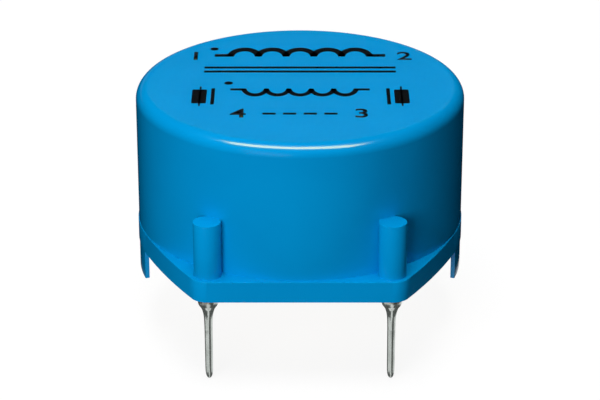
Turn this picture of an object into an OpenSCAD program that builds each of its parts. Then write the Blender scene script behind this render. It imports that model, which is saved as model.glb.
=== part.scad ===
// Two-winding toroidal inductor, potted in a round moulded case with four leads for a circuit board.
// Millimetres. The board's surface is z = 0 and the lead pattern is centred on the z axis.

/* [Case] */
// Outer diameter of the cup
case_d = 23; // [22:0.25:25]
// Height of the cup's top above the board
case_h = 13.5; // [12.9:0.1:16]
// Gap that the feet keep between the board and the flange
stand_off = 2.2; // [2.1:0.1:2.8]
// Thickness of the cup's side wall
wall_t = 0.8; // [0.6:0.05:1.2]
// Thickness of the cup's top
roof_t = 0.8; // [0.6:0.05:1.2]
// Rounding of the cup's top edge
top_edge_r = 0.9; // [0.5:0.05:1.5]
// Rounding inside the cup, between wall and top
inner_edge_r = 0.3; // [0.2:0.05:0.5]

/* [Flange] */
// Thickness of the flange
flange_t = 1.5; // [1.2:0.1:2]
// Radius of the flange's corners, each centred on a lead
corner_r = 1.25; // [1.1:0.05:1.6]
// Width of the flange at the sides, outside the cup
flange_w = 0.05; // [0.04:0.01:0.2]
// Angle from the side, seen from above, at which the flange's edge turns towards a corner
side_arc_angle = 21; // [14:1:22]

/* [Feet] */
// Width of a foot, measured straight across
foot_w = 7; // [4:0.5:9]
// Radial thickness of a foot
foot_t = 0.3; // [0.25:0.05:0.6]

/* [Leads] */
// Distance between the two leads on one side of the flange
lead_pitch = 12.5; // [11.5:0.25:13]
// Diameter of a lead with its tin
lead_d = 0.5; // [0.4:0.05:0.7]
// Thickness of the tin on a lead's free length
tin_t = 0.02; // [0.015:0.005:0.03]
// Length of a lead below the board's surface
lead_below = 4.2; // [3:0.1:5]
// Length of the tapered tip
tip_h = 0.5; // [0.4:0.05:0.8]
// Radius of the rounding at the tip's end
tip_r = 0.19; // [0.1:0.01:0.19]

/* [Bosses] */
// Distance from the cup's wall to a boss's centre
boss_out = 0.72; // [0.6:0.02:0.85]
// Diameter of the boss that holds a lead
boss_d = 1.9; // [1.6:0.05:2.1]
// Height of a boss above the flange
boss_h = 3.95; // [3:0.05:5]
// Plastic left above a lead at the closed end of its boss
boss_cap = 0.75; // [0.5:0.05:1.2]

/* [Ring core] */
// Room between the core's side and the cup's wall
core_side = 2.4; // [1.8:0.1:3]
// Radial width of the coated core's section
core_w = 3.8; // [3.2:0.1:4.2]
// Rounding of the core's edges
core_edge_r = 0.5; // [0.3:0.05:0.8]
// Potting between the windings and the cup's top
core_drop = 0.3; // [0.2:0.05:0.5]
// Potting between the windings and the potting's open face
core_lift = 1.6; // [1.2:0.1:2.4]

/* [Windings] */
// Diameter of the enamelled wire
wire_d = 0.3; // [0.25:0.01:0.35]
// Least gap between neighbouring turns, in the core's hole
turn_gap = 0.025; // [0.01:0.005:0.1]
// Angle that each winding covers
winding_angle = 138; // [130:1:142]

/* [Solder joints] */
// Turns of a wire's end round its lead, inside the solder
wraps = 1; // [0.75:0.25:1.5]
// Thickness of the solder over the wrapped wire
solder_film = 0.14; // [0.1:0.01:0.2]
// Length of the solder's cone below the wrapped wire
solder_cone_h = 1.3; // [1:0.05:1.4]

/* [Separator] */
// Thickness of the web between the windings
web_t = 1; // [0.7:0.1:1.3]
// Thickness of the separator's end pads and of their lips
pad_t = 0.5; // [0.4:0.05:0.6]
// Angle that each end pad covers
pad_angle = 28; // [20:1:30]
// Reach of a lip over the core's flat face
lip_reach = 1.4; // [0.8:0.1:2]

/* [Potting] */
// Depth of the potting's surface inside the cup's mouth
potting_recess = 0.55; // [0.5:0.05:0.8]
// Radius of the rim where the potting creeps down the wall
meniscus_r = 0.25; // [0.15:0.05:0.4]

/* [Hidden] */

$fn = 96;
// Clearance between a lead and the plastic or solder round it
lead_gap = 0.01;
// Clearance between the wire and what it lies on, and between the inner pieces
fit_gap = 0.02;
// Room on each side of a wire in its groove under the flange
groove_play = 0.2;
// Length by which a cut runs past the face that it opens
over = 1;

case_r = case_d / 2;
cavity_r = case_r - wall_t;
cavity_top = case_h - roof_t;
flange_z = stand_off;
potting_z = flange_z + potting_recess;

// Leads stand on a circle round the cup
lead_r = lead_d / 2;
bare_r = lead_r - tin_t;
boss_r = boss_d / 2;
lead_reach = case_r + boss_out;
lead_x = lead_pitch / 2;
lead_y = sqrt(pow(lead_reach, 2) - pow(lead_x, 2));
lead_angle = atan2(lead_y, lead_x);
boss_top = flange_z + flange_t + boss_h;
lead_top = boss_top - boss_cap;

// The flange's edge follows the cup at the sides, then one long arc to each corner. The arc touches
// both the circle round the cup and the corner's circle, which fixes its radius.
flange_r = case_r + flange_w;
flange_y = lead_y + corner_r;
arc_dir = [cos(side_arc_angle), sin(side_arc_angle)];
corner_along = lead_x * arc_dir[0] + lead_y * arc_dir[1];
side_arc_r = (pow(lead_reach, 2) + pow(flange_r, 2) - pow(corner_r, 2) - 2 * flange_r * corner_along)
             / (2 * (flange_r - corner_r - corner_along));
arc_centre = -(side_arc_r - flange_r) * arc_dir;

// Core and windings
wire_r = wire_d / 2;
wire_sides = 6;
layer_step = wire_d * sqrt(3) / 2;
wind_t = fit_gap + wire_d + layer_step;
core_od = 2 * (cavity_r - core_side);
core_id = core_od - 2 * core_w;
core_top = cavity_top - core_drop - wind_t;
core_h = core_top - wind_t - core_lift - potting_z;
core_z = core_top - core_h / 2;

// Turns lie two deep, and as many as fit side by side at the upper layer in the core's hole
hole_arc = winding_angle * PI / 180 * (core_id / 2 - wind_t + wire_r);
slots = floor(hole_arc / (wire_d + turn_gap));
turns = 2 * slots + 1;
slot_angle = winding_angle / slots;
// A straight cut of this length clears the core's rounded edge
corner_cut = (2 - sqrt(2)) * (core_edge_r + fit_gap + wire_r);

// The wires' ends: down through the potting, along a groove under the flange, and round the lead
end_angle = winding_angle / 2 + slot_angle;
end_r = core_od / 2 + fit_gap + wire_r;
end_z = flange_z + potting_recess / 2;
groove_w = wire_d + 2 * groove_play;
bend_r = cavity_r - wire_d;
wrap_steps = 12;
wrap_pitch = wire_d + fit_gap;
wrap_path_r = (bare_r + fit_gap + wire_r) / cos(180 / wrap_steps);

// Solder: a film over the wrapped wire, then a hollow arc that meets the lead's tin as a tangent
wrap_room_r = wrap_path_r + wire_r + fit_gap;
wrap_room_h = wire_d + 2 * fit_gap + wraps * wrap_pitch;
solder_r = wrap_room_r + solder_film;
solder_h = wrap_room_h + solder_cone_h;
solder_spread = solder_r - lead_r;
solder_arc_r = (pow(solder_cone_h, 2) + pow(solder_spread, 2)) / (2 * solder_spread);
tin_top = flange_z - solder_h - lead_gap;

// Colours
blue = [0, 0.5, 0.78];
tin = [0.72, 0.74, 0.72];
resin = [0.80, 0.74, 0.60];
ferrite = [0.30, 0.31, 0.30];
copper = [0.72, 0.35, 0.16];
fibre = [0.92, 0.90, 0.84];

// Repeats what stands at the right and rear corner at all four
module at_corners() {
    for (left = [0, 1], front = [0, 1])
        mirror([left, 0, 0])
            mirror([0, front, 0])
                children();
}

// The room inside the cup, above height z
module cavity(z) {
    shoulder = cavity_r - inner_edge_r;
    rotate_extrude() {
        translate([0, z]) square([cavity_r, cavity_top - inner_edge_r - z]);
        translate([0, z]) square([shoulder, cavity_top - z]);
        translate([shoulder, cavity_top - inner_edge_r]) circle(inner_edge_r);
    }
}

// The outside of the cup, from the flange's underside to its rounded top edge
module cup() {
    shoulder = case_r - top_edge_r;
    rotate_extrude()
        intersection() {
            union() {
                translate([0, flange_z]) square([case_r, case_h - top_edge_r - flange_z]);
                translate([0, flange_z]) square([shoulder, case_h - flange_z]);
                translate([shoulder, case_h - top_edge_r]) circle(top_edge_r);
            }
            square([case_r, case_h]);
        }
}

// A quarter of the flange: a wedge under the long arc, the ground behind the front edge, the corner
module flange_quarter() {
    corner = [lead_x, lead_y];
    corner_dir = (corner - arc_centre) / norm(corner - arc_centre);
    far = side_arc_r * 1.2;
    intersection() {
        translate(arc_centre) circle(side_arc_r);
        polygon([[0, 0], arc_centre + far * arc_dir, arc_centre + far * corner_dir, corner]);
    }
    polygon([[0, 0], corner, [lead_x, flange_y], [0, flange_y]]);
    translate(corner) circle(corner_r);
}

module flange() {
    translate([0, 0, flange_z])
        linear_extrude(flange_t) {
            circle(flange_r);
            at_corners() flange_quarter();
        }
}

module bosses() {
    at_corners()
        translate([lead_x, lead_y, flange_z])
            cylinder(r = boss_r, h = boss_top - flange_z);
}

// Two thin arcs in line with the wall, which stand the case off the board
module feet() {
    height = flange_z + flange_t / 2;
    intersection() {
        difference() {
            cylinder(r = case_r, h = height);
            translate([0, 0, -over]) cylinder(r = case_r - foot_t, h = height + 2 * over);
        }
        translate([-case_d, -foot_w / 2, 0]) cube([2 * case_d, foot_w, height]);
    }
}

// Blind holes for the leads
module lead_holes() {
    at_corners()
        translate([lead_x, lead_y, flange_z - over])
            cylinder(r = bare_r + lead_gap, h = lead_top + fit_gap - flange_z + over);
}

// Grooves in the flange's underside, from the cup's mouth to each lead
module wire_grooves() {
    at_corners()
        rotate([0, 0, lead_angle])
            translate([cavity_r - over, -groove_w / 2, flange_z - over])
                cube([lead_reach - cavity_r + over, groove_w, potting_recess + over]);
}

module case() {
    color(blue)
        difference() {
            union() {
                cup();
                flange();
                bosses();
                feet();
            }
            cavity(-over);
            lead_holes();
            wire_grooves();
        }
}

// The core's section about its own middle height, or that of a room round it: g larger on every
// side, with corners of radius r
module core_section(g, r) {
    low = [core_id / 2 - g, -core_h / 2 - g];
    high = [core_od / 2 + g, core_h / 2 + g];
    translate(low + [r, 0]) square([high[0] - low[0] - 2 * r, high[1] - low[1]]);
    translate(low + [0, r]) square([high[0] - low[0], high[1] - low[1] - 2 * r]);
    for (x = [low[0] + r, high[0] - r], z = [low[1] + r, high[1] - r])
        translate([x, z]) circle(r);
}

module ring_core() {
    color(ferrite)
        translate([0, 0, core_z])
            rotate_extrude() core_section(0, core_edge_r);
}

// Section of an end pad with its two lips, g larger all round
module pad_section(g) {
    pad_in = core_id / 2 - fit_gap - pad_t - g;
    lip_z = core_h / 2 + fit_gap - g;
    thick = pad_t + 2 * g;
    translate([pad_in, -lip_z - thick]) square([thick, 2 * (lip_z + thick)]);
    for (z = [lip_z, -lip_z - thick])
        translate([pad_in, z]) square([thick + lip_reach, thick]);
}

// The separator: a web across the core's hole, held by a lipped pad at each end
module separator_shape(g) {
    web_reach = core_id / 2 - fit_gap - pad_t / 2;
    web_half_h = core_h / 2 + fit_gap + pad_t + g;
    span = pad_angle + 2 * asin(g / (core_id / 2 - pad_t));
    translate([0, 0, core_z]) {
        translate([-web_t / 2 - g, -web_reach, -web_half_h])
            cube([web_t + 2 * g, 2 * web_reach, 2 * web_half_h]);
        for (a = [90, 270])
            rotate([0, 0, a - span / 2])
                rotate_extrude(angle = span) pad_section(g);
    }
}

module separator() {
    color(fibre) separator_shape(0);
}

// A corner of the turn at angle a: side is -1 in the core's hole and 1 outside it,
// level is -1 under the core and 1 above it
function turn_corner(a, layer, side, level) =
    let (off = fit_gap + wire_r + layer * layer_step,
         r = (side > 0 ? core_od : core_id) / 2 + side * off)
    [r * cos(a), r * sin(a), core_z + level * (core_h / 2 + off)];

// Every second turn lies in the groove between its neighbours, one layer further out
function winding_corners() =
    [for (k = [0 : turns - 1])
        let (layer = k % 2, a = -winding_angle / 2 + slot_angle * k / 2)
        each [turn_corner(a, layer, 1, -1), turn_corner(a, layer, -1, -1),
              turn_corner(a, layer, -1, 1), turn_corner(a, layer, 1, 1)]];

// A point of the turn that a wire takes round the lead at angle b
function wrap_point(b, i) =
    let (a = b + 180 + i * 360 / wrap_steps,
         z = flange_z - fit_gap - wire_r - i * wrap_pitch / wrap_steps)
    [lead_reach * cos(b) + wrap_path_r * cos(a), lead_reach * sin(b) + wrap_path_r * sin(a), z];

// The way from a winding's end, at angle a, to the lead at angle b
function way_out(a, b) =
    [turn_corner(a, 0, 1, -1),
     [end_r * cos(a), end_r * sin(a), potting_z],
     [end_r * cos(a), end_r * sin(a), end_z],
     [bend_r * cos(b), bend_r * sin(b), end_z],
     [(lead_reach - wrap_path_r) * cos(b), (lead_reach - wrap_path_r) * sin(b), end_z],
     wrap_point(b, 0)];

function lead_wrap(b) = [for (i = [1 : wrap_steps * wraps]) wrap_point(b, i)];
function reversed(list) = [for (i = [len(list) - 1 : -1 : 0]) list[i]];
function unit(v) = v / norm(v);

// Each corner of a path cut off at distance c, or less beside a short stretch
function cut_corners(p, c) =
    [p[0],
     for (i = [1 : len(p) - 2])
        let (back = p[i - 1] - p[i], on = p[i + 1] - p[i], s = min(c, 0.4 * norm(back), 0.4 * norm(on)))
        each [p[i] + s * unit(back), p[i] + s * unit(on)],
     p[len(p) - 1]];

function winding_path() =
    concat(reversed(lead_wrap(-lead_angle)),
           cut_corners(concat(reversed(way_out(-end_angle, -lead_angle)),
                              winding_corners(),
                              way_out(end_angle, lead_angle)),
                       corner_cut),
           lead_wrap(lead_angle));

// Directions of a path's stretches, and the direction along the path at each of its points
function stretches(p) = [for (i = [0 : len(p) - 2]) unit(p[i + 1] - p[i])];
function along(d) = [d[0], for (i = [1 : len(d) - 1]) unit(d[i - 1] + d[i]), d[len(d) - 1]];

// A direction across the path at each point, carried along it without twist
function across(t) =
    [for (i = 0, n = unit(cross(t[0], [1, 0.3, 0.2]));
          i < len(t);
          i = i + 1, n = i < len(t) ? unit(n - (n * t[i]) * t[i]) : n) n];

// A wire along a path: one ring of points at each corner, widened there so that it stays round
module wire(p) {
    d = stretches(p);
    t = along(d);
    n = across(t);
    last = len(p) - 1;
    points = [for (i = [0 : last])
        let (b = cross(t[i], n[i]),
             turn = i == 0 || i == last ? [0, 0, 0] : d[i] - d[i - 1],
             bent = norm(turn) > 0.001,
             m = bent ? unit(turn) : turn,
             widen = bent ? 1 / (d[i] * t[i]) - 1 : 0)
        for (k = [0 : wire_sides - 1])
            let (q = wire_r * (cos(k * 360 / wire_sides) * n[i] + sin(k * 360 / wire_sides) * b))
            p[i] + q + m * (q * m) * widen];
    skin = [for (i = [0 : last - 1], k = [0 : wire_sides - 1])
        let (a = i * wire_sides + k, b = i * wire_sides + (k + 1) % wire_sides)
        each [[a, b + wire_sides, b], [a, a + wire_sides, b + wire_sides]]];
    ends = [[for (k = [0 : wire_sides - 1]) k],
            [for (k = [wire_sides - 1 : -1 : 0]) last * wire_sides + k]];
    polyhedron(points, concat(skin, ends));
}

module winding(turned) {
    color(copper)
        rotate([0, 0, turned]) wire(winding_path());
}

// The room that a winding and its two ends take in the potting
module winding_room() {
    margin = asin((wire_r + fit_gap) / (core_id / 2 - wind_t));
    half = winding_angle / 2 + margin;
    bore_r = wire_r + fit_gap;
    half_h = core_h / 2 + wind_t + fit_gap;
    translate([0, 0, core_z]) {
        rotate([0, 0, -half])
            rotate_extrude(angle = 2 * half) core_section(wind_t + fit_gap, corner_cut);
        rotate([0, 0, -end_angle])
            rotate_extrude(angle = 2 * end_angle)
                translate([end_r - bore_r, -half_h]) square([2 * bore_r, 2 * half_h]);
    }
    for (a = [-end_angle, end_angle])
        rotate([0, 0, a])
            translate([end_r, 0, potting_z - over])
                cylinder(r = bore_r, h = core_z - potting_z + over);
}

// The rim of potting that creeps down the cup's wall
module meniscus() {
    rotate_extrude()
        translate([cavity_r - meniscus_r, potting_z - meniscus_r])
            difference() {
                square([meniscus_r, 2 * meniscus_r]);
                circle(meniscus_r);
            }
}

module potting() {
    color(resin)
        difference() {
            union() {
                cavity(potting_z);
                meniscus();
            }
            translate([0, 0, core_z]) rotate_extrude() core_section(fit_gap, core_edge_r + fit_gap);
            for (a = [0, 180]) rotate([0, 0, a]) winding_room();
            separator_shape(fit_gap);
            wire_grooves();
        }
}

// Half the section of a lead's tip, from its end up: a taper that runs into a rounding
module tip_section() {
    slant = norm([lead_r, tip_h - tip_r]);
    a = atan2(tip_h - tip_r, lead_r) - acos(tip_r / slant);
    polygon([[0, tip_r], [tip_r * cos(a), tip_r + tip_r * sin(a)], [lead_r, tip_h], [0, tip_h]]);
    intersection() {
        translate([0, tip_r]) circle(tip_r);
        square([tip_r, tip_h]);
    }
}

// A lead stands at the corner that the signs sx and sy give
module lead(sx, sy) {
    color(tin)
        translate([sx * lead_x, sy * lead_y, -lead_below])
            rotate_extrude() {
                tip_section();
                translate([0, tip_h]) square([lead_r, tin_top + lead_below - tip_h]);
                translate([0, tip_h]) square([bare_r, lead_top + lead_below - tip_h]);
            }
}

module solder(sx, sy) {
    bore_r = bare_r + lead_gap;
    color(tin)
        translate([sx * lead_x, sy * lead_y, flange_z - solder_h])
            rotate_extrude()
                difference() {
                    translate([bore_r, 0]) square([solder_r - bore_r, solder_h]);
                    translate([lead_r + solder_arc_r, 0]) circle(solder_arc_r);
                    translate([0, solder_cone_h]) square([wrap_room_r, wrap_room_h + over]);
                }
}

case();
potting();
ring_core();
separator();
winding(180);  // winding_left
winding(0);  // winding_right
lead(-1, -1);  // lead_front_left
lead(1, -1);  // lead_front_right
lead(-1, 1);  // lead_rear_left
lead(1, 1);  // lead_rear_right
solder(-1, -1);  // solder_front_left
solder(1, -1);  // solder_front_right
solder(-1, 1);  // solder_rear_left
solder(1, 1);  // solder_rear_right
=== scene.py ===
import math

import bpy
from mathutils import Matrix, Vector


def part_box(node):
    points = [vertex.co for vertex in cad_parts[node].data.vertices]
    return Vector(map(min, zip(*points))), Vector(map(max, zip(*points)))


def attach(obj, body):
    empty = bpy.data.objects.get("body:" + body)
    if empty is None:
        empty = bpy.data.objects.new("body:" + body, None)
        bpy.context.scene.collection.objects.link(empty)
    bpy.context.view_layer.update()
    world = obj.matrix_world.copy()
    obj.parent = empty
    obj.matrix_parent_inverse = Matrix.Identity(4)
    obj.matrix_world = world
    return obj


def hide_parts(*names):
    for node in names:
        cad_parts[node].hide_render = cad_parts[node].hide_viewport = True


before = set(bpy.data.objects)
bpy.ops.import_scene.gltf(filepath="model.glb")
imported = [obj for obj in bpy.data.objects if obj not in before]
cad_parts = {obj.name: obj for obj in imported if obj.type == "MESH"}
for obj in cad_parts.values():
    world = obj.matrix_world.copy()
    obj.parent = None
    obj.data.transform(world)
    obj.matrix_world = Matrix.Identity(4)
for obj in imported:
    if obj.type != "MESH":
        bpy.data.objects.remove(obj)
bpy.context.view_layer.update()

print("frame loaded:", len(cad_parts), "nodes")

# corners of the right rear lead, its solder, the case and the potting: the solder ends at the
# flange's underside, and the potting fills the case's mouth
leadLow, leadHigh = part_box("lead_rear_right")
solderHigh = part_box("solder_rear_right")[1]
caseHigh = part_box("case")[1]
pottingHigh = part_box("potting")[1]

turn = 2 * math.pi
tiny = 1e-7  # vertices nearer than this are one


# working with the mesh tools

def objectMode():
    if bpy.context.mode != "OBJECT":
        bpy.ops.object.mode_set(mode="OBJECT")


def pickOnly(piece):
    objectMode()
    bpy.ops.object.select_all(action="DESELECT")
    piece.select_set(True)
    bpy.context.view_layer.objects.active = piece


def settle(name):
    # names the active piece and puts its place into its mesh
    objectMode()
    piece = bpy.context.object
    pickOnly(piece)
    bpy.ops.object.transform_apply(location=True, rotation=True, scale=True)
    piece.name = name
    piece.data.name = name
    return piece


def editAll(piece, mode="VERT"):
    pickOnly(piece)
    bpy.ops.object.mode_set(mode="EDIT")
    bpy.ops.mesh.select_mode(type=mode)
    bpy.ops.mesh.select_all(action="SELECT")


def pickFaces(piece, test):
    # edit mode with the faces picked for which test(centre, normal) holds
    editAll(piece, "FACE")
    bpy.ops.mesh.select_all(action="DESELECT")
    objectMode()
    for face in piece.data.polygons:
        face.select = test(face.center, face.normal)
    bpy.ops.object.mode_set(mode="EDIT")


def pickEdges(piece, test):
    # edit mode with the edges picked for which test(end, end) holds
    editAll(piece, "EDGE")
    bpy.ops.mesh.select_all(action="DESELECT")
    objectMode()
    points = piece.data.vertices
    for edge in piece.data.edges:
        edge.select = test(points[edge.vertices[0]].co, points[edge.vertices[1]].co)
    bpy.ops.object.mode_set(mode="EDIT")


def roundEdges(piece, test, width, steps):
    pickEdges(piece, test)
    bpy.ops.mesh.bevel(offset=width, segments=steps, profile=0.5, affect="EDGES")
    objectMode()


def atLevel(level):
    return lambda a, b: abs(a.z - level) < tiny and abs(b.z - level) < tiny


def drum(name, radius, low, high, sides, x=0, y=0, ends="NGON"):
    bpy.ops.mesh.primitive_cylinder_add(vertices=sides, radius=radius, depth=high - low,
                                        end_fill_type=ends, location=(x, y, (low + high) / 2))
    return settle(name)


def combine(piece, tool, operation):
    pickOnly(piece)
    bpy.ops.object.modifier_add(type="BOOLEAN")
    step = piece.modifiers[-1]
    step.operation = operation
    step.solver = "EXACT"
    step.object = tool
    bpy.ops.object.modifier_apply(modifier=step.name)
    bpy.data.objects.remove(tool, do_unlink=True)


def applyNew(piece, kind, **settings):
    pickOnly(piece)
    bpy.ops.object.modifier_add(type=kind)
    step = piece.modifiers[-1]
    for key, value in settings.items():
        setattr(step, key, value)
    bpy.ops.object.modifier_apply(modifier=step.name)


def twin(piece, name, flipX, flipY):
    # a copy with its own mesh, mirrored where a flip is -1
    pickOnly(piece)
    bpy.ops.object.duplicate()
    copy = bpy.context.object
    copy.scale = (flipX, flipY, 1)
    settle(name)
    editAll(copy)
    bpy.ops.mesh.normals_make_consistent(inside=False)
    objectMode()
    return copy


def smooth(piece, degrees, weighted=False):
    pickOnly(piece)
    bpy.ops.object.shade_smooth_by_angle(angle=math.radians(degrees))
    if weighted:
        applyNew(piece, "WEIGHTED_NORMAL", keep_sharp=True, weight=60)


def vertexAt(x, y, z):
    # a lone vertex to spin or extrude from, in edit mode
    bpy.ops.mesh.primitive_plane_add(size=0.001, location=(x, y, z))
    piece = settle("outline")
    editAll(piece)
    bpy.ops.mesh.merge(type="CENTER")
    return piece


def extrudeBy(x, y, z):
    bpy.ops.mesh.extrude_region_move(TRANSFORM_OT_translate={"value": (x, y, z)})


# building materials

class Value:
    # a socket that can stand in a Python expression
    def __init__(self, nodes, socket):
        self.nodes = nodes
        self.socket = socket

    def maths(self, kind, first, second):
        return self.nodes.add("ShaderNodeMath", {"operation": kind}, {0: first, 1: second})

    def __add__(self, other):
        return self.maths("ADD", self, other)

    def __radd__(self, other):
        return self.maths("ADD", other, self)

    def __sub__(self, other):
        return self.maths("SUBTRACT", self, other)

    def __rsub__(self, other):
        return self.maths("SUBTRACT", other, self)

    def __mul__(self, other):
        return self.maths("MULTIPLY", self, other)

    def __rmul__(self, other):
        return self.maths("MULTIPLY", other, self)

    def between(self, low, high):
        # 0 below low, 1 above high, smooth in between
        return self.nodes.add("ShaderNodeMapRange", {"interpolation_type": "SMOOTHSTEP"},
                              {"Value": self, "From Min": low, "From Max": high}, "Result")


class Nodes:
    # adds nodes to one tree, each of which comes back as a Value
    def __init__(self, tree):
        self.tree = tree

    def add(self, kind, settings=None, sockets=None, out=0):
        node = self.tree.nodes.new(kind)
        for key, value in (settings or {}).items():
            setattr(node, key, value)
        for key, value in (sockets or {}).items():
            self.feed(node.inputs[key], value)
        return Value(self, node.outputs[out]) if node.outputs else None

    def feed(self, socket, value):
        if isinstance(value, Value):
            self.tree.links.new(value.socket, socket)
        elif socket.type == "RGBA" and len(value) == 3:
            socket.default_value = (*value, 1)
        else:
            socket.default_value = value

    def anyOf(self, first, *rest):
        # 1 where one of these values is 1
        for other in rest:
            first = self.add("ShaderNodeMath", {"operation": "MAXIMUM"}, {0: first, 1: other})
        return first

    def rays(self, *kinds):
        # 1 for a ray of one of these kinds
        return self.anyOf(*[self.add("ShaderNodeLightPath", out=f"Is {kind} Ray") for kind in kinds])


class Finish(Nodes):
    # a material with its surface and its output
    def __init__(self, name):
        self.material = bpy.data.materials.new(name)
        self.material.use_nodes = True
        super().__init__(self.material.node_tree)
        self.surface = self.tree.nodes["Principled BSDF"]
        self.output = self.tree.nodes["Material Output"]

    def place(self, stretch=(1, 1, 1)):
        # the object's own coordinates, in metres
        coords = self.add("ShaderNodeTexCoord", out="Object")
        return self.add("ShaderNodeMapping", sockets={"Vector": coords, "Scale": stretch})

    def height(self):
        coords = self.add("ShaderNodeTexCoord", out="Object")
        return self.add("ShaderNodeSeparateXYZ", sockets={"Vector": coords}, out="Z")

    def noise(self, size, detail, stretch=(1, 1, 1), roughness=0.5):
        # size is the width of a blotch, in metres
        return self.add("ShaderNodeTexNoise", sockets={"Vector": self.place(stretch), "Scale": 1 / size,
                                                       "Detail": detail, "Roughness": roughness})

    def pits(self, size, smoothness):
        # the distance from the middle of the nearest pit, in shares of size
        return self.add("ShaderNodeTexVoronoi", {"feature": "SMOOTH_F1"},
                        {"Vector": self.place(), "Scale": 1 / size, "Smoothness": smoothness}, "Distance")

    def blend(self, share, first, second):
        # sockets 6, 7 and 2 are the colours of a Mix node
        return self.add("ShaderNodeMix", {"data_type": "RGBA"}, {0: share, 6: first, 7: second}, 2)

    def bump(self, height, depth, strength):
        return self.add("ShaderNodeBump", sockets={"Height": height, "Distance": depth, "Strength": strength},
                        out="Normal")

    def wear(self, **sockets):
        # sets or links sockets of the surface, where Base_Color stands for Base Color
        for key, value in sockets.items():
            self.feed(self.surface.inputs[key.replace("_", " ")], value)
        return self.material


def dress(piece, material):
    piece.data.materials.clear()
    piece.data.materials.append(material)


# finishes: the width of each pattern and the depth of the relief are in metres

casePaint = {
    "blue": (0.0, 0.300, 0.680), "deep": (0.0, 0.284, 0.650), "rough": 0.13, "specular": 0.45,
    "cloud": 0.006, "grain": 0.00011, "wave": 0.0016, "rub": 0.0009, "relief": 0.000003,
}


def casePlastic():
    finish = Finish("casePlastic")
    cloud = finish.noise(casePaint["cloud"], 4)
    grain = finish.noise(casePaint["grain"], 2, roughness=0.6)
    wave = finish.noise(casePaint["wave"], 2)
    rubbed = finish.noise(casePaint["rub"], 5, stretch=(1, 1, 0.25)).between(0.62, 0.75)
    colour = finish.blend(cloud.between(0.3, 0.7), casePaint["deep"], casePaint["blue"])
    skin = finish.bump(grain * 0.6 + wave * 0.5, casePaint["relief"], 0.15)
    return finish.wear(Base_Color=colour, Roughness=casePaint["rough"] + grain * 0.04 + rubbed * 0.05,
                       Specular_IOR_Level=casePaint["specular"], Normal=skin)


inkPaint = {
    "black": (0.004, 0.005, 0.006), "thin": (0.006, 0.02, 0.035), "rough": 0.24, "specular": 0.12,
    "speckle": 0.00012, "film": 0.0004, "relief": 0.000003,
}


def printInk():
    finish = Finish("printInk")
    speckle = finish.noise(inkPaint["speckle"], 4).between(0.66, 0.8)
    film = finish.noise(inkPaint["film"], 3)
    colour = finish.blend(speckle * 0.6, inkPaint["black"], inkPaint["thin"])
    return finish.wear(Base_Color=colour, Roughness=inkPaint["rough"] + film * 0.1,
                       Specular_IOR_Level=inkPaint["specular"],
                       Normal=finish.bump(film, inkPaint["relief"], 0.4))


tinPaint = {
    "bright": (0.55, 0.585, 0.56), "dull": (0.41, 0.445, 0.42), "rough": 0.16,
    "drawn": 0.00006, "patch": 0.0007, "relief": 0.000002,
}


def tinnedWire():
    finish = Finish("tinnedWire")
    drawn = finish.noise(tinPaint["drawn"], 3, stretch=(1, 1, 0.03))
    patch = finish.noise(tinPaint["patch"], 4, stretch=(1, 1, 0.5)).between(0.35, 0.75)
    colour = finish.blend(patch, tinPaint["bright"], tinPaint["dull"])
    rough = tinPaint["rough"] + drawn * 0.08 + patch * 0.08
    return finish.wear(Base_Color=colour, Metallic=1.0, Roughness=rough,
                       Normal=finish.bump(drawn, tinPaint["relief"], 0.3))


solderPaint = {
    "warm": (0.59, 0.51, 0.38), "rough": 0.15, "grain": 0.00018, "patch": 0.0006, "relief": 0.000012,
    # the heights between which it turns warm, and how ragged that edge is
    "warmFrom": 0.00185, "warmTo": 0.0024, "ragged": 0.0004, "raggedWidth": 0.0005,
}


def solderTin():
    finish = Finish("solderTin")
    grain = finish.noise(solderPaint["grain"], 4)
    patch = finish.noise(solderPaint["patch"], 3).between(0.4, 0.7)
    # warmer next to the flange, up from a ragged height
    ragged = finish.noise(solderPaint["raggedWidth"], 2) * solderPaint["ragged"]
    warmth = (finish.height() + ragged).between(solderPaint["warmFrom"], solderPaint["warmTo"])
    metal = finish.blend(patch * 0.6, tinPaint["bright"], tinPaint["dull"])
    colour = finish.blend(warmth * 0.85, metal, solderPaint["warm"])
    rough = solderPaint["rough"] + grain * 0.1 + warmth * 0.08
    return finish.wear(Base_Color=colour, Metallic=1.0, Roughness=rough,
                       Normal=finish.bump(grain, solderPaint["relief"], 0.5))


resinPaint = {
    "cream": (0.60, 0.51, 0.33), "amber": (0.50, 0.39, 0.22), "rough": 0.24, "specular": 0.5,
    "cloud": 0.004, "swell": 0.0032, "pit": 0.0011, "relief": 0.00012,
}


def pottingResin():
    finish = Finish("pottingResin")
    cloud = finish.noise(resinPaint["cloud"], 4).between(0.3, 0.75)
    swell = finish.noise(resinPaint["swell"], 2)
    pit = 1 - finish.pits(resinPaint["pit"], 0.3).between(0.06, 0.16)
    colour = finish.blend(cloud * 0.7 + pit * 0.3, resinPaint["cream"], resinPaint["amber"])
    return finish.wear(Base_Color=colour, Roughness=resinPaint["rough"] + cloud * 0.12,
                       Specular_IOR_Level=resinPaint["specular"],
                       Normal=finish.bump(swell - pit * 0.25, resinPaint["relief"], 0.6))


corePaint = {
    "dark": (0.06, 0.065, 0.06), "pale": (0.10, 0.105, 0.095), "rough": 0.45,
    "cloud": 0.002, "grain": 0.00025, "relief": 0.00002,
}


def coatedCore():
    finish = Finish("coatedCore")
    grain = finish.noise(corePaint["grain"], 4)
    cloud = finish.noise(corePaint["cloud"], 3)
    colour = finish.blend(cloud, corePaint["dark"], corePaint["pale"])
    return finish.wear(Base_Color=colour, Roughness=corePaint["rough"] + grain * 0.2,
                       Normal=finish.bump(grain, corePaint["relief"], 0.6))


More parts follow.
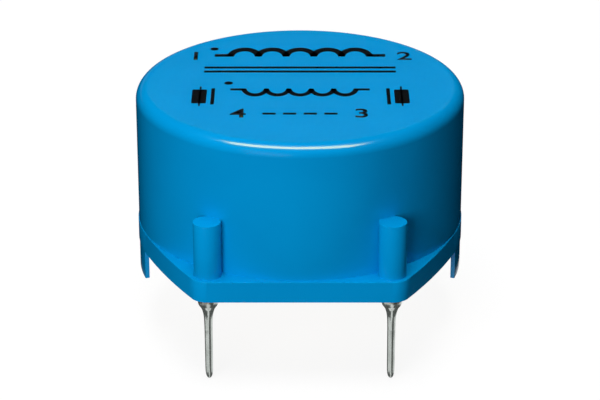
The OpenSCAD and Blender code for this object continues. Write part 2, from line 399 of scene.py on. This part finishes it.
fibrePaint = {
    "deep": (0.72, 0.68, 0.58), "pale": (0.80, 0.77, 0.68), "rough": 0.5,
    "cloud": 0.0016, "grain": 0.0002, "relief": 0.000008,
}


def separatorFibre():
    finish = Finish("separatorFibre")
    grain = finish.noise(fibrePaint["grain"], 4, stretch=(1, 1, 0.2))
    cloud = finish.noise(fibrePaint["cloud"], 3)
    colour = finish.blend(cloud, fibrePaint["deep"], fibrePaint["pale"])
    return finish.wear(Base_Color=colour, Roughness=fibrePaint["rough"] + grain * 0.15,
                       Normal=finish.bump(grain, fibrePaint["relief"], 0.5))


copperPaint = {
    "deep": (0.56, 0.18, 0.05), "bright": (0.68, 0.26, 0.08), "rough": 0.22, "coat": 0.6,
    "streak": 0.0004, "relief": 0.000006,
}


def enamelledCopper():
    finish = Finish("enamelledCopper")
    streak = finish.noise(copperPaint["streak"], 4)
    colour = finish.blend(streak.between(0.3, 0.7), copperPaint["deep"], copperPaint["bright"])
    return finish.wear(Base_Color=colour, Metallic=1.0, Roughness=copperPaint["rough"] + streak * 0.14,
                       Coat_Weight=copperPaint["coat"],
                       Normal=finish.bump(streak, copperPaint["relief"], 0.4))


blue = casePlastic()
ink = printInk()
tin = tinnedWire()
solder = solderTin()
resin = pottingResin()
print("finishes made")


# the case: a cup on a flange with four bosses and two feet

case = {
    "radius": 0.0115, "top": caseHigh.z, "topRound": 0.0009, "topSteps": 14,
    "mouthRadius": pottingHigh.x, "roof": pottingHigh.z, "roofRound": 0.0003, "roofSteps": 4,
    "flangeLow": solderHigh.z, "flangeHigh": 0.0037, "flangeRadius": 0.01155,
    "sideTurn": math.radians(21), "sideArc": 0.04235,
    "sideSteps": 15, "arcSteps": 20, "cornerSteps": 16,
    "leadX": (leadLow.x + leadHigh.x) / 2, "leadY": (leadLow.y + leadHigh.y) / 2,
    "bossRadius": 0.00095, "bossTop": 0.00765, "bossSides": 64,
    "footWidth": 0.007, "footDepth": 0.0003, "footEdge": 0.00003,
    "grooveWidth": 0.0007, "grooveDepth": 0.00055,
    "edge": 0.00005, "edgeSteps": 2, "sides": 256, "smoothing": 30,
    # how far cup, boss and foot reach into the flange, and a cut past what it cuts
    "cupBite": 0.0008, "bossBite": 0.0004, "footBite": 0.0003, "past": 0.001,
}
flips = ((1, 1), (1, -1), (-1, 1), (-1, -1))  # the right rear quarter and its mirror images


def makeFlange():
    # a quarter of the outline from three spins and one straight, mirrored twice
    corner = (case["leadX"], case["leadY"])
    reach = case["sideArc"] - case["flangeRadius"]
    arcCentre = (-reach * math.cos(case["sideTurn"]), -reach * math.sin(case["sideTurn"]))
    cornerTurn = math.atan2(corner[1] - arcCentre[1], corner[0] - arcCentre[0])
    low = case["flangeLow"]
    flange = vertexAt(case["flangeRadius"], 0, low)
    arcs = (
        ((0, 0), case["sideSteps"], case["sideTurn"]),
        (arcCentre, case["arcSteps"], cornerTurn - case["sideTurn"]),
        (corner, case["cornerSteps"], turn / 4 - cornerTurn),
    )
    for centre, steps, angle in arcs:
        bpy.ops.mesh.spin(steps=steps, angle=-angle, center=(*centre, low), axis=(0, 0, 1))
    extrudeBy(-case["leadX"], 0, 0)
    objectMode()
    applyNew(flange, "MIRROR", use_axis=(True, True, False), merge_threshold=1e-6)
    editAll(flange)
    bpy.ops.mesh.edge_face_add()
    extrudeBy(0, 0, case["flangeHigh"] - low)
    bpy.ops.mesh.select_all(action="SELECT")
    bpy.ops.mesh.normals_make_consistent(inside=False)
    objectMode()
    roundEdges(flange, atLevel(case["flangeHigh"]), case["edge"], case["edgeSteps"])
    return flange


def makeFoot():
    # a slice of the cup's wall at its right side, cut straight at both ends
    high = case["flangeLow"] + case["footBite"]
    foot = drum("foot", case["radius"], 0, high, case["sides"], ends="NOTHING")
    half = case["footWidth"] / 2
    cuts = (
        ((0, half, 0), (0, 1, 0)),
        ((0, -half, 0), (0, -1, 0)),
        ((case["radius"] / 2, 0, 0), (-1, 0, 0)),
    )
    for point, normal in cuts:
        editAll(foot)
        bpy.ops.mesh.bisect(plane_co=point, plane_no=normal, clear_outer=True)
    objectMode()
    applyNew(foot, "SOLIDIFY", thickness=case["footDepth"], offset=-1, use_even_offset=True)
    roundEdges(foot, atLevel(0), case["footEdge"], 1)
    return foot


def makeBoss():
    boss = drum("boss", case["bossRadius"], case["flangeLow"] + case["bossBite"], case["bossTop"],
                case["bossSides"], case["leadX"], case["leadY"])
    roundEdges(boss, atLevel(case["bossTop"]), case["edge"], case["edgeSteps"])
    return boss


def makeGroove(flipX, flipY):
    # a wire's groove from the mouth to its lead
    leadReach = math.hypot(case["leadX"], case["leadY"])
    length = leadReach - case["mouthRadius"] + case["past"]
    middle = leadReach - length / 2
    angle = math.atan2(flipY * case["leadY"], flipX * case["leadX"])
    place = (middle * math.cos(angle), middle * math.sin(angle), case["flangeLow"])
    bpy.ops.mesh.primitive_cube_add(size=1, location=place, rotation=(0, 0, angle))
    bpy.context.object.scale = (length, case["grooveWidth"], 2 * case["grooveDepth"])
    return settle("groove")


def makeCase():
    shell = makeFlange()
    cup = drum("cup", case["radius"], case["flangeLow"] + case["cupBite"], case["top"], case["sides"])
    roundEdges(cup, atLevel(case["top"]), case["topRound"], case["topSteps"])
    combine(shell, cup, "UNION")
    boss = makeBoss()
    for flipX, flipY in flips:
        combine(shell, twin(boss, "bossCopy", flipX, flipY), "UNION")
    bpy.data.objects.remove(boss, do_unlink=True)
    foot = makeFoot()
    combine(shell, twin(foot, "footCopy", -1, 1), "UNION")
    combine(shell, foot, "UNION")
    mouth = drum("mouth", case["mouthRadius"], -case["past"], case["roof"], case["sides"])
    roundEdges(mouth, atLevel(case["roof"]), case["roofRound"], case["roofSteps"])
    combine(shell, mouth, "DIFFERENCE")
    for flipX, flipY in flips:
        combine(shell, makeGroove(flipX, flipY), "DIFFERENCE")
    editAll(shell)
    bpy.ops.mesh.remove_doubles(threshold=tiny)
    objectMode()
    shell.name = "caseShell"
    shell.data.name = "caseShell"
    smooth(shell, case["smoothing"], weighted=True)
    dress(shell, blue)
    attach(shell, "root")
    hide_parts("case")
    print("case made:", len(shell.data.polygons), "faces")


makeCase()


# the leads and their solder

lead = {
    "bare": 0.00025, "sides": 40, "smoothing": 60,
    # height and radius from the solder down to the tip: the tin is a little thicker near the solder
    "coat": ((0.0006, 0.000284), (-0.0009, 0.000280), (-0.0017, 0.000275), (-0.0025, 0.000271),
             (-0.0032, 0.000267), (-0.00362, 0.000260), (-0.00384, 0.000236), (-0.00400, 0.000196),
             (-0.00410, 0.000145), (-0.00416, 0.000090), (-0.00419, 0.000045), (-0.00420, 0.000010)),
}
joint = {
    "sides": 48, "smoothing": 50,
    # depth below the flange and radius, from the flange down to the lead
    "profile": ((0.0, 0.00030), (0.0, 0.00069), (0.00006, 0.000718), (0.00020, 0.000724), (0.00042, 0.000718),
                (0.00058, 0.000700), (0.00070, 0.000664), (0.00079, 0.000612), (0.00088, 0.000545),
                (0.00098, 0.000482), (0.00110, 0.000432), (0.00125, 0.000386), (0.00143, 0.000348),
                (0.00164, 0.000318), (0.00188, 0.000301), (0.00215, 0.000291), (0.00242, 0.0002855),
                (0.00270, 0.000280), (0.00280, 0.000270)),
}


def makeLead():
    height = lead["coat"][0][0]
    radius = lead["bare"]
    pin = drum("pin", radius, height, leadHigh.z, lead["sides"], case["leadX"], case["leadY"])
    middle = (case["leadX"], case["leadY"], height)
    pickFaces(pin, lambda centre, normal: normal.z < -0.9)
    for nextHeight, nextRadius in lead["coat"]:
        extrudeBy(0, 0, nextHeight - height)
        scale = nextRadius / radius
        bpy.ops.transform.resize(value=(scale, scale, 1), center_override=middle)
        height, radius = nextHeight, nextRadius
    objectMode()
    smooth(pin, lead["smoothing"])
    dress(pin, tin)
    return pin


def makeSolder():
    x, y, high = case["leadX"], case["leadY"], case["flangeLow"]
    (depth, radius), *rest = joint["profile"]
    blob = vertexAt(x + radius, y, high - depth)
    for nextDepth, nextRadius in rest:
        extrudeBy(nextRadius - radius, 0, depth - nextDepth)
        depth, radius = nextDepth, nextRadius
    bpy.ops.mesh.select_all(action="SELECT")
    bpy.ops.mesh.spin(steps=joint["sides"], angle=turn, center=(x, y, high), axis=(0, 0, 1))
    bpy.ops.mesh.select_all(action="SELECT")
    bpy.ops.mesh.remove_doubles(threshold=tiny)
    bpy.ops.mesh.normals_make_consistent(inside=False)
    objectMode()
    smooth(blob, joint["smoothing"])
    dress(blob, solder)
    return blob


firstLead = makeLead()
firstSolder = makeSolder()
for row, flipY in (("front", -1), ("rear", 1)):
    for side, flipX in (("left", -1), ("right", 1)):
        for first, kind, slot in ((firstLead, "lead", "tinned_wire"), (firstSolder, "solder", "solder_tin")):
            piece = twin(first, kind + row.capitalize() + side.capitalize(), flipX, flipY)
            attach(piece, "root")
            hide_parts(f"{kind}_{row}_{side}")
bpy.data.objects.remove(firstLead, do_unlink=True)
bpy.data.objects.remove(firstSolder, do_unlink=True)
print("leads and solder made")


# what the case holds: the solids' own shapes with smooth shading

def standIn(node, name, material, smoothing):
    pickOnly(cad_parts[node])
    bpy.ops.object.duplicate()
    piece = bpy.context.object
    for key in list(piece.keys()):  # a copy keeps none of the node's marks
        del piece[key]
    piece.parent = None
    settle(name)
    editAll(piece)
    bpy.ops.mesh.remove_doubles(threshold=tiny)
    objectMode()
    smooth(piece, smoothing)
    dress(piece, material)
    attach(piece, "root")
    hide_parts(node)


standIn("potting", "pottingFill", resin, 8)
standIn("ring_core", "ringCore", coatedCore(), 35)
standIn("separator", "coreSeparator", separatorFibre(), 35)
copper = enamelledCopper()
standIn("winding_left", "windingLeft", copper, 65)
standIn("winding_right", "windingRight", copper, 65)
print("inner pieces made")


# the print on the top: coil and core signs and pin numbers

top = {"level": caseHigh.z, "thick": 0.000012, "sink": 0.00001, "corner": 0.12}
signs = {
    # tall stretches the turns, and endPast is how far past them the middle of the wire's end is
    "coils": ({"lineY": 0.00525, "width": 0.0100, "turns": 5, "stroke": 0.00052, "tall": 1.45,
               "endPast": 0.0005, "endLength": 0.0013},
              {"lineY": -0.00105, "width": 0.0078, "turns": 5, "stroke": 0.00036, "tall": -1.55,
               "endPast": 0.0004, "endLength": 0.0011}),
    "coilSides": 48, "overlap": 0.00002,
    "dots": ((-0.0062, 0.0068), (-0.0050, 0.0)), "dotRadius": 0.0003, "dotSides": 28,
    "bars": (0.00305, 0.00225), "barWidth": 0.0136, "barStroke": 0.00036,
    # x of the winding sign, its line and the core's line at each side
    "sides": ((-0.00697, -0.00692, -0.006035), (0.007035, 0.00703, 0.006115)),
    # y, width and depth of these three
    "sideShapes": ((-0.00253, 0.00102, 0.00258), (-0.00249, 0.00013, 0.00366), (-0.00252, 0.00026, 0.00300)),
    "pins": (("1", -0.0075, 0.0053), ("2", 0.0075, 0.0053), ("4", -0.0042, -0.0057), ("3", 0.0042, -0.0057)),
    "pinSize": 0.0022, "pinBolder": 0.016,
    "dashes": (-0.0021, -0.0007, 0.0007, 0.0021), "dashY": -0.0057,
    "dashWidth": 0.0009, "dashStroke": 0.00032,
}


def flatBar(x, y, width, depth):
    bpy.ops.mesh.primitive_plane_add(size=1, location=(x, y, top["level"] - top["sink"]))
    bpy.context.object.scale = (width, depth, 1)
    bar = settle("bar")
    editAll(bar)
    bpy.ops.mesh.bevel(offset=min(width, depth) * top["corner"], segments=2, affect="VERTICES")
    objectMode()
    return bar


def flatDisc(name, x, y, radius, sides):
    bpy.ops.mesh.primitive_circle_add(vertices=sides, radius=radius, fill_type="NGON",
                                      location=(x, y, top["level"] - top["sink"]))
    return settle(name)


def coilSign(lineY, width, turns, stroke, tall, endPast, endLength):
    # a row of half rings that stand on a line, or hang from it where tall is negative
    pieces = []
    pitch = width / turns
    for i in range(turns):
        x = pitch * (i + 0.5) - width / 2
        ring = flatDisc("bump", x, lineY, (pitch + stroke) / 2, signs["coilSides"])
        editAll(ring, "FACE")
        bpy.ops.mesh.inset(thickness=stroke)
        bpy.ops.mesh.delete(type="FACE")
        bpy.ops.mesh.select_all(action="SELECT")
        bpy.ops.mesh.bisect(plane_co=(x, lineY, top["level"]), plane_no=(0, tall, 0), clear_inner=True)
        bpy.ops.mesh.select_all(action="SELECT")
        bpy.ops.transform.resize(value=(1, abs(tall), 1), center_override=(x, lineY, top["level"]))
        objectMode()
        pieces.append(ring)
    endY = lineY + math.copysign(stroke / 2 - signs["overlap"], tall)
    for side in (-1, 1):
        pieces.append(flatBar(side * (width / 2 + endPast), endY, endLength, stroke))
    return pieces


def digit(text, x, y):
    bpy.ops.object.text_add(location=(x, y, top["level"] - top["sink"]))
    figure = bpy.context.object
    figure.data.body = text
    figure.data.size = signs["pinSize"]
    figure.data.offset = signs["pinSize"] * signs["pinBolder"]
    figure.data.align_x = "CENTER"
    figure.data.align_y = "CENTER"
    pickOnly(figure)
    bpy.ops.object.convert(target="MESH")
    return settle("digit")


def makePrint():
    parts = []
    for coil in signs["coils"]:
        parts += coilSign(**coil)
    for x, y in signs["dots"]:  # where each winding starts
        parts.append(flatDisc("dot", x, y, signs["dotRadius"], signs["dotSides"]))
    for y in signs["bars"]:  # the core, between the coils
        parts.append(flatBar(0, y, signs["barWidth"], signs["barStroke"]))
    for places in signs["sides"]:
        for x, (y, width, depth) in zip(places, signs["sideShapes"]):
            parts.append(flatBar(x, y, width, depth))
    for text, x, y in signs["pins"]:
        parts.append(digit(text, x, y))
    for x in signs["dashes"]:
        parts.append(flatBar(x, signs["dashY"], signs["dashWidth"], signs["dashStroke"]))
    pickOnly(parts[0])
    for part in parts:
        part.select_set(True)
    bpy.ops.object.join()
    marks = settle("topPrint")
    editAll(marks)
    bpy.ops.mesh.normals_make_consistent(inside=False)
    extrudeBy(0, 0, top["sink"] + top["thick"])
    bpy.ops.mesh.select_all(action="SELECT")
    bpy.ops.mesh.normals_make_consistent(inside=False)
    objectMode()
    dress(marks, ink)
    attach(marks, "root")
    print("print made:", len(marks.data.polygons), "faces")


makePrint()


# floor, cards, lamps and camera

stage = {
    "floorLevel": leadLow.z, "floorSize": 3.0, "shadow": 0.12, "bounce": 0.06, "ambient": 0.024,
    "domeRadius": 0.9, "domeLow": -0.1, "cardSides": 180, "cardTint": (0.95, 1.0, 0.97),
}
nearHigh = case["top"]  # the near cards end level with the part's top
# start and end are degrees round to the right from the camera's side
cards = {
    "frontTent": {"radius": 0.025, "low": -0.0056, "high": nearHigh, "start": -50, "end": 50},
    "leftTent": {"radius": 0.025, "low": -0.0080, "high": nearHigh, "start": -80, "end": -50},
    "rightTent": {"radius": 0.025, "low": -0.0080, "high": nearHigh, "start": 50, "end": 80},
    "backTent": {"radius": 0.025, "low": -0.0095, "high": nearHigh, "start": 80, "end": 280},
    "backCard": {"radius": 0.5, "low": -0.36, "high": 0.1, "start": 172, "end": 262, "glow": 0.125},
    "rightCard": {"radius": 0.5, "low": -0.36, "high": 0.1, "start": 11, "end": 64, "glow": 0.15},
    "lowCard": {"radius": 0.5, "low": -1.6, "high": -0.36, "start": 25, "end": 342, "glow": 0.135},
}
brim = {"inner": 0.0122, "outer": 0.025, "level": nearHigh}
# azimuth 0 is the camera's side, and level is how bright a white surface that faces the lamp looks
lamps = {
    "topLamp": {"azimuth": -15, "elevation": 82, "distance": 0.40, "size": (0.24, 0.24), "level": 0.87},
    "keyLamp": {"azimuth": -21, "elevation": 18, "distance": 0.10, "size": (0.05, 0.05), "level": 0.57},
    "backLamp": {"azimuth": 176, "elevation": 22, "distance": 0.40, "size": (0.20, 0.20), "level": 0.66},
    "underLamp": {"azimuth": -10, "elevation": -88, "distance": 0.40, "size": (0.20, 0.20), "level": 0.75},
    # this one shows in reflections alone
    "glintLamp": {"azimuth": -7, "elevation": 74, "distance": 0.32, "size": (0.37, 0.11), "level": 2.0,
                  "glint": True, "tint": (1.0, 0.84, 0.12)},
}
view = {"place": (0, -0.15763, 0.07495), "tilt": math.radians(90 - 24.07), "lens": 144.8, "sensor": 36}


def studioWorld():
    world = bpy.context.scene.world or bpy.data.worlds.new("studio")
    bpy.context.scene.world = world
    world.use_nodes = True
    world.node_tree.nodes.clear()
    sky = Nodes(world.node_tree)
    seen = sky.rays("Camera", "Glossy", "Transmission")
    strength = sky.add("ShaderNodeMapRange",
                       sockets={"Value": seen, "To Min": stage["ambient"], "To Max": 1.0})
    back = sky.add("ShaderNodeBackground", sockets={"Color": (1, 1, 1), "Strength": strength})
    sky.add("ShaderNodeOutputWorld", sockets={"Surface": back})


def makeFloor():
    bpy.ops.mesh.primitive_plane_add(size=stage["floorSize"], location=(0, 0, stage["floorLevel"]))
    floor = settle("floor")
    finish = Finish("paleFloor")
    finish.tree.nodes.remove(finish.surface)
    white = finish.add("ShaderNodeEmission", sockets={"Color": (1, 1, 1), "Strength": 1.0})
    card = finish.add("ShaderNodeBsdfDiffuse", sockets={"Color": (1, 1, 1)})
    dim = finish.add("ShaderNodeBsdfDiffuse", sockets={"Color": (stage["bounce"],) * 3})
    clear = finish.add("ShaderNodeBsdfTransparent")
    shown = finish.add("ShaderNodeMixShader", sockets={0: stage["shadow"], 1: white, 2: card})
    lit = finish.add("ShaderNodeMixShader", sockets={0: finish.rays("Camera"), 1: dim, 2: shown})
    # reflections, shadow rays and a look from below pass through it
    under = finish.add("ShaderNodeNewGeometry", out="Backfacing")
    through = finish.anyOf(finish.rays("Glossy", "Shadow", "Transmission"), under)
    whole = finish.add("ShaderNodeMixShader", sockets={0: through, 1: lit, 2: clear})
    finish.feed(finish.output.inputs["Surface"], whole)
    dress(floor, finish.material)


def darkCard(card, name, glow=0.0):
    # only reflections see it, as with the cards round a product on a photo table
    finish = Finish(name)
    finish.wear(Base_Color=(0.0, 0.0, 0.0), Roughness=1.0, Specular_IOR_Level=0.0,
                Emission_Color=stage["cardTint"], Emission_Strength=glow)
    dress(card, finish.material)
    card.visible_camera = False
    card.visible_diffuse = False
    card.visible_shadow = False
    card.visible_transmission = False


def makeCard(name, radius, low, high, start, end, glow=0.0):
    card = drum(name, radius, low, high, stage["cardSides"], ends="NOTHING")

    def outside(centre, normal):
        angle = math.degrees(math.atan2(centre.x, -centre.y))
        return (angle - start) % 360 > end - start

    pickFaces(card, outside)
    bpy.ops.mesh.delete(type="FACE")
    objectMode()
    darkCard(card, name, glow)


def makeDome():
    bpy.ops.mesh.primitive_uv_sphere_add(segments=64, ring_count=36, radius=stage["domeRadius"])
    dome = settle("darkDome")
    editAll(dome)
    bpy.ops.mesh.bisect(plane_co=(0, 0, stage["domeLow"]), plane_no=(0, 0, 1), clear_inner=True)
    objectMode()
    darkCard(dome, "darkDome")


def makeBrim():
    # a flat ring that keeps the glint off the wall where it is looked at from below
    bpy.ops.mesh.primitive_circle_add(vertices=stage["cardSides"], radius=brim["outer"], fill_type="NGON",
                                      location=(0, 0, brim["level"]))
    ring = settle("darkBrim")
    editAll(ring, "FACE")
    bpy.ops.mesh.inset(thickness=brim["outer"] - brim["inner"])
    bpy.ops.mesh.delete(type="FACE")
    objectMode()
    darkCard(ring, "darkBrim")


def makeLamp(name, azimuth, elevation, distance, size, level, glint=False, tint=(1, 1, 1)):
    across, up = math.radians(azimuth), math.radians(elevation)
    away = (math.sin(across) * math.cos(up), -math.cos(across) * math.cos(up), math.sin(up))
    bpy.ops.object.light_add(type="AREA", location=[distance * share for share in away],
                             rotation=(math.pi / 2 - up, 0, across))
    lamp = bpy.context.object
    lamp.name = name
    lamp.data.shape = "RECTANGLE"
    lamp.data.size, lamp.data.size_y = size
    lamp.data.color = tint
    lamp.data.energy = level * math.pi ** 2 * distance ** 2
    lamp.visible_glossy = glint
    lamp.visible_diffuse = not glint


def makeCamera():
    bpy.ops.object.camera_add(location=view["place"], rotation=(view["tilt"], 0, 0))
    camera = bpy.context.object
    camera.data.lens = view["lens"]
    camera.data.sensor_width = view["sensor"]
    camera.data.clip_start = 0.001
    camera.data.clip_end = 10
    bpy.context.scene.camera = camera


studioWorld()
makeFloor()
makeDome()
makeBrim()
for name, settings in cards.items():
    makeCard(name, **settings)
for name, settings in lamps.items():
    makeLamp(name, **settings)
makeCamera()
bpy.context.scene.view_settings.view_transform = "Standard"
print("stage made")
